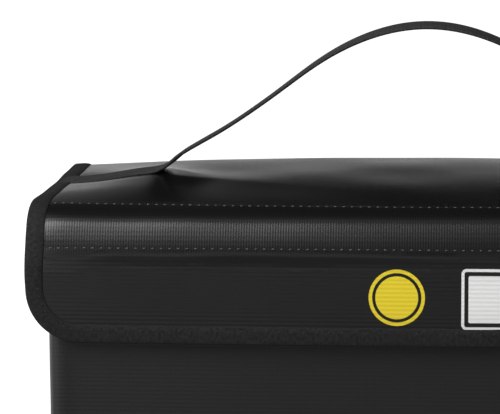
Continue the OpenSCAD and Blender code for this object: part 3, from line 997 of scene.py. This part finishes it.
def strap_half(name, side):
    stops = [STRAP_END * (1 - k / HALF_STEPS) for k in range(HALF_STEPS + 1)]
    line = [Vector((x, webbing_line(x))) for x in stops]
    length = [0.0]
    for a, b in zip(line, line[1:]):
        length.append(length[-1] + (b - a).length)

    def place(c, r):
        ahead = line[min(c + 1, HALF_STEPS)] - line[max(c - 1, 0)]
        if c == HALF_STEPS:
            ahead = Vector((-1, 0))
        ahead.normalize()
        across, out = ring_point(r if side > 0 else RING - r)
        twist = -TIP * (1 - ease(0.3, 0.95, c / HALF_STEPS))
        lean = across * math.sin(twist)
        x, z = line[c].x + ahead.y * (out + lean), line[c].y - ahead.x * (out + lean)
        return Vector((side * x, crown_y + across * math.cos(twist), z)) * MM

    around = [0.0]
    for k in range(RING):
        a, b = ring_point(k), ring_point(k + 1)
        around.append(around[-1] + math.hypot(b[0] - a[0], b[1] - a[1]))
    piece = mapped_sheet(name, HALF_STEPS, RING, place, lambda c, r: (length[c] * MM, around[r] * MM),
                         webbing, "webbing", closed=True)
    bm = bmesh.new()
    bm.from_mesh(piece.data)
    ends = [e for e in bm.edges if e.is_boundary]
    for cap in bmesh.ops.holes_fill(bm, edges=ends, sides=RING + 2)["faces"]:
        cap.smooth = False
    for edge in ends:
        edge.smooth = False
    bmesh.ops.recalc_face_normals(bm, faces=bm.faces)
    bm.to_mesh(piece.data)
    bm.free()
    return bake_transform(piece), length[-1]


left_strap, strap_run = strap_half("handle_webbing_left", -1)
right_strap, _ = strap_half("handle_webbing_right", 1)
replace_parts(left_strap, "strap_tail_left", "strap_root_left", "handle_strap")
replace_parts(right_strap, "strap_tail_right", "strap_root_right")
print(f"handle: {2 * strap_run:.0f} mm of webbing")

# %% [markdown]
# ## Stitching
# Stitches are what hold the bag together, and the two rows along the fold catch the light. A stitch is a
# small bead of thread that dips into the cloth at both ends, so each one is a stretched ball laid along its
# seam.

# %% Rows of stitches
STITCH, PITCH = (1.15, 0.5, 0.5), 3.0


def stitch_row(name, places, finish, body, node=None):
    """places holds one stitch each: its two end points in metres and the direction out of the cloth."""
    bm = bmesh.new()
    long, wide, tall = (size / 2 * MM for size in STITCH)
    for start, end, out in places:
        ahead = (end - start).normalized()
        side = out.cross(ahead).normalized()
        basis = Matrix((ahead * long, side * wide, ahead.cross(side) * tall)).transposed()
        place = Matrix.Translation((start + end) / 2) @ basis.to_4x4()
        bmesh.ops.create_uvsphere(bm, u_segments=8, v_segments=5, radius=1.0, matrix=place)
    lay_flat(bm, lambda v: (v.co.x, v.co.y + v.co.z))
    bmesh.ops.recalc_face_normals(bm, faces=bm.faces)
    piece = finished(name, bm, finish, "thread", body)
    if node:
        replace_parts(piece, node)


def cover_out(x, s):
    along_x, along_s = cover(x + 1, s) - cover(x - 1, s), cover(x, s + 0.5) - cover(x, s - 0.5)
    return along_s.cross(along_x).normalized()


ROW_PITCH, ROW_REACH = 2.95, 130.5


def cover_stitches(s, rise):
    count = int(2 * ROW_REACH / ROW_PITCH)
    made = []
    for k in range(count):
        x = (k - (count - 1) / 2) * ROW_PITCH
        skew = 0.12 * math.sin(k * 2.4)
        out = cover_out(x, s)
        lift = out * rise * MM
        made.append((cover(x - 1, s + skew) + lift, cover(x + 1, s - skew) + lift, out))
    return made


upper_row, lower_row = cover_stitches(ROW_1, 0.0), cover_stitches(ROW_2, 0.1)
# Painted highlight: the fold rows are sewn with the lighter thread.
stitch_row("upper_fold_stitches", upper_row, thread, "lid", "upper_stitch_row")
stitch_row("lower_fold_stitches", lower_row, thread, "flap", "lower_stitch_row")
print("fold stitches:", len(upper_row), "a row")

# %% Stitches on the tape and the handle
TAPE_SEAM = 4.3


def tape_stitches(keep):
    made, at = [], 0.0
    for c in range(1, len(route)):
        if run[c] - at < PITCH:
            continue
        at = run[c]
        x, s, in_x, in_s = route[c]
        if not keep(s):
            continue
        x, s = x + in_x * TAPE_SEAM, s + in_s * TAPE_SEAM
        out = cover_out(x, s)
        lift = out * (TAPE_T + 0.02) * MM
        made.append((cover(x + in_s, s - in_x) + lift, cover(x - in_s, s + in_x) + lift, out))
    return made


stitch_row("lid_tape_stitches", tape_stitches(lambda s: s < LID_S - 1), dark_thread, "lid")
stitch_row("flap_tape_stitches", tape_stitches(lambda s: s > LID_S + FOLD_S + 1), dark_thread, "flap")


SEAM_IN, SEAM_LOW, SEAM_TOP = 3.0, 6, 10


def seam_stitches():
    """A row beside each upright seam of the pouch, on the side panels."""
    made = []
    for side in (-1, 1):
        for t in (SEAM_IN, SIDE_LENGTH - SEAM_IN):
            for k in range(int((SIDE_H - SEAM_LOW - SEAM_TOP) / PITCH)):
                ends = [wall(side_line, SIDE_LENGTH, t, SEAM_LOW + PITCH * k + up, SIDE_H, 0.0, SIDE_BELLY)
                        for up in (0.4, 1.6)]
                for end in ends:
                    end.x *= side
                made.append((*ends, Vector((side, 0, 0))))
    return made


stitch_row("pouch_seam_stitches", seam_stitches(), dark_thread, "pouch")


BOX_FROM, BOX_TO, BOX_HALF, BOX_PITCH, SUNK = 108.0, 128.5, 9.5, 2.9, 0.12


def tail_stitches():
    """A box with a cross on each sewn tail of the handle."""
    made = []
    corners = [(BOX_FROM, -BOX_HALF), (BOX_TO, -BOX_HALF), (BOX_TO, BOX_HALF), (BOX_FROM, BOX_HALF)]
    lines = list(zip(corners, corners[1:] + corners[:1]))
    lines += [(corners[0], corners[2]), (corners[1], corners[3])]
    for side in (-1, 1):
        for (x0, y0), (x1, y1) in lines:
            count = max(2, round(math.hypot(x1 - x0, y1 - y0) / BOX_PITCH))
            for k in range(count):
                spots = []
                for q in ((k + 0.2) / count, (k + 0.8) / count):
                    x, y = x0 + (x1 - x0) * q, y0 + (y1 - y0) * q
                    z = webbing_line(x) - y * math.sin(TIP) + STRAP_T / 2 - SUNK
                    spots.append(Vector((side * x, crown_y + y, z)) * MM)
                made.append((*spots, Vector((0, 0, 1))))
    return made


stitch_row("handle_tail_stitches", tail_stitches(), dark_thread, "lid", "strap_stitches")
print("tape and handle stitches ready")

# %% [markdown]
# ## What the cloth was cut from
# Every panel was a flat cut before it was sewn, and cloth hardly stretches. So each sheet states its flat
# size, which is printed.

# %% Flat cuts
cut_area = sum((cut_half(a) + cut_half(b)) * (a - b) for a, b in zip(row_stops, row_stops[1:]))
COVER_CUT, BASE_CUT = (2 * SIDE[0][1], END_S), (2 * (BODY_HALF - FOOT_R), 2 * (DEPTH_HALF - FOOT_R))
FRONT_CUT, BACK_CUT, SIDE_CUT = (WRAP_LENGTH, FRONT_H), (WRAP_LENGTH, BACK_H), (SIDE_LENGTH, SIDE_H)
HINGE_CUT = (2 * FRONT_RUN, HINGE_DOWN + (BACK_FOLD_R - HINGE_DEPTH) * math.pi / 2 + HINGE_UNDER)
cuts = [
    (lid_cover, COVER_CUT, "folded", "lid_stiffener", [edge_tape]),
    (lid_lining, COVER_CUT, "folded", "lid_stiffener", []),
    (front_panel, FRONT_CUT, "stretched", "front_board", [front_tape]),
    (front_lining, FRONT_CUT, "stretched", "front_board", []),
    (back_panel, BACK_CUT, "stretched", "back_board", []),
    (back_lining, BACK_CUT, "stretched", "back_board", []),
    (right_side, SIDE_CUT, "stretched", "right_side_board", [right_tape]),
    (right_inside, SIDE_CUT, "stretched", "right_side_board", []),
    (left_side, SIDE_CUT, "stretched", "left_side_board", [left_tape]),
    (left_inside, SIDE_CUT, "stretched", "left_side_board", []),
    (base_cloth, BASE_CUT, "stretched", "base_board", []),
    (base_inside, BASE_CUT, "laid", "base_board", []),
    (back_hinge, HINGE_CUT, "folded", "back_cloth", []),
]
for piece, (wide, long), held, carrier, sewn_on in cuts:
    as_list(sewn_on)
    print(f"{piece.name}: cut {wide:.0f} x {long:.0f} mm")

# %% [markdown]
# ## The rest of the solids
# The stiffening boards of the pouch are hidden between cloth and lining. Their solids have the right shape,
# so they stay as they are and only get the board's finish.

# %% Boards
for name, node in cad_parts.items():
    if not node.hide_render:
        node.data.materials.clear()
        node.data.materials.append(board.material)
        print("kept solid:", name)
